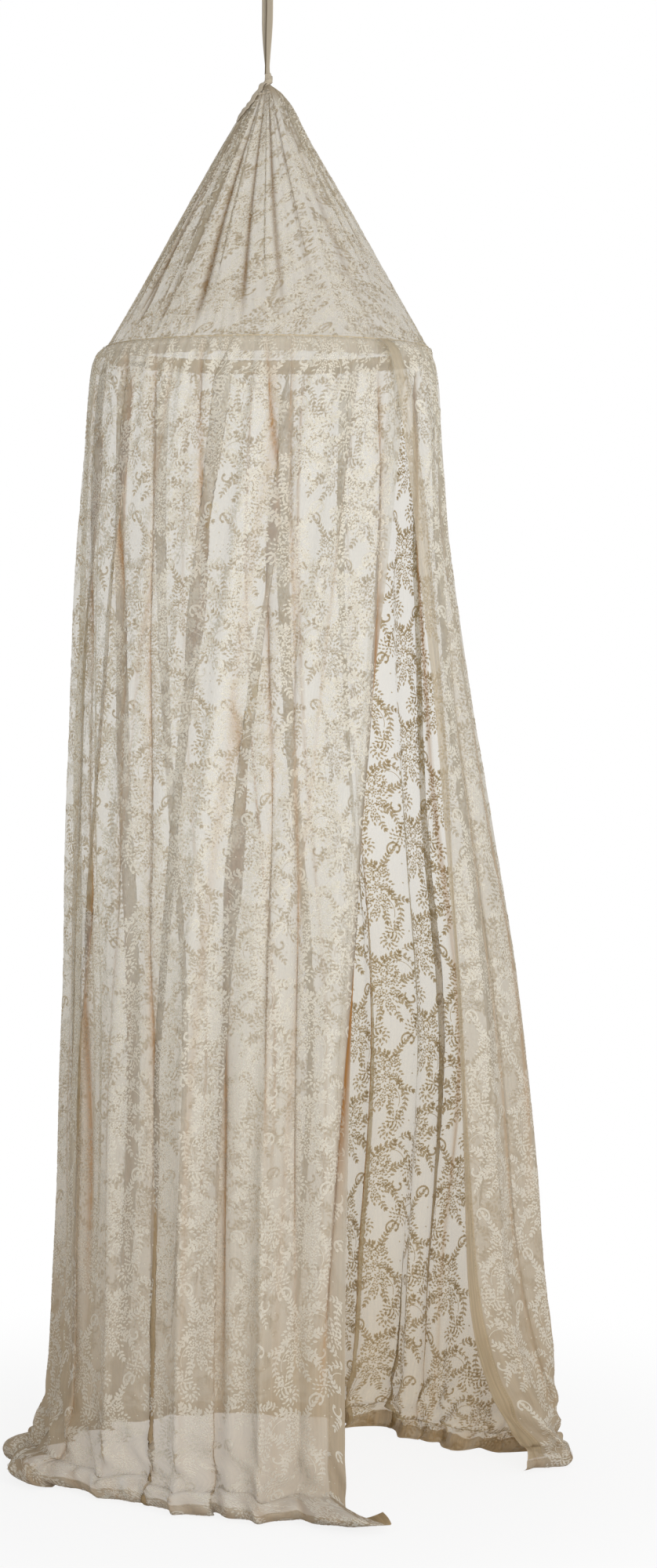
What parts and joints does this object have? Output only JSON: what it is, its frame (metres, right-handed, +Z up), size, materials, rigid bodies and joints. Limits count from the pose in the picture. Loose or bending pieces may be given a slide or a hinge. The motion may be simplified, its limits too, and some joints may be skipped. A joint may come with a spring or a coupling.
{
  "type": "bed crown canopy",
  "caption": "Hanging lace bed crown canopy with a cone top, a hoop in a sewn casing, a floor-length gathered drape that opens at the front, and a tape hanging loop.",
  "frame": {"origin": "where the underside of the hanging loop bears on its hook", "axes": "+Z up, -Y the side of the front opening, +X to the right of someone facing the canopy's front from -Y"},
  "size_m": [0.6281, 0.8028, 2.402],
  "materials": {
    "tape": "plain woven cotton tape, taupe, matt",
    "lace": "cream floral lace on a sheer ground",
    "plain_voile": "plain sheer voile, cream, matt",
    "hoop_plastic": "smooth off-white plastic",
    "plug_plastic": "smooth grey-white plastic"
  },
  "bodies": {
    "hanger": {"hanging_loop": "tape"},
    "knot": {"loop_knot": "tape"},
    "canopy": {"loop_tail": "tape", "crown_neck": "lace", "crown_cone": "lace", "hoop_casing": "plain_voile", "hoop_tube_1": "hoop_plastic", "hoop_tube_2": "hoop_plastic", "hoop_tube_3": "hoop_plastic", "hoop_tube_4": "hoop_plastic", "hoop_plug_1": "plug_plastic", "hoop_plug_2": "plug_plastic", "hoop_plug_3": "plug_plastic", "hoop_plug_4": "plug_plastic", "left_curtain": "lace", "back_curtain": "lace", "right_curtain": "lace", "left_facing_top": "plain_voile", "right_facing_top": "plain_voile"},
    "left_flap": {"left_front_flap": "lace", "left_facing": "plain_voile"},
    "right_flap": {"right_front_flap": "lace", "right_facing": "plain_voile"}
  },
  "joints": [
    {"name": "canopy_swivel", "type": "hinge", "parent": "hanger", "child": "knot", "pos_m": [0, 0, -0.228], "axis": [0, 0, 1], "range_deg": [-90, 90]},
    {"name": "canopy_sway", "type": "hinge", "parent": "knot", "child": "canopy", "pos_m": [0, 0, -0.24], "axis": [1, 0, 0], "range_deg": [-4, 4]},
    {"name": "left_flap_fold", "type": "hinge", "parent": "canopy", "child": "left_flap", "pos_m": [-0.1432, -0.2839, -1.0064], "axis": [-0.1164, 0.1107, -0.987], "range_deg": [-5, 80]},
    {"name": "right_flap_fold", "type": "hinge", "parent": "canopy", "child": "right_flap", "pos_m": [-0.077, -0.3244, -1.0064], "axis": [-0.239, 0.051, 0.9697], "range_deg": [-5, 80]}
  ]
}
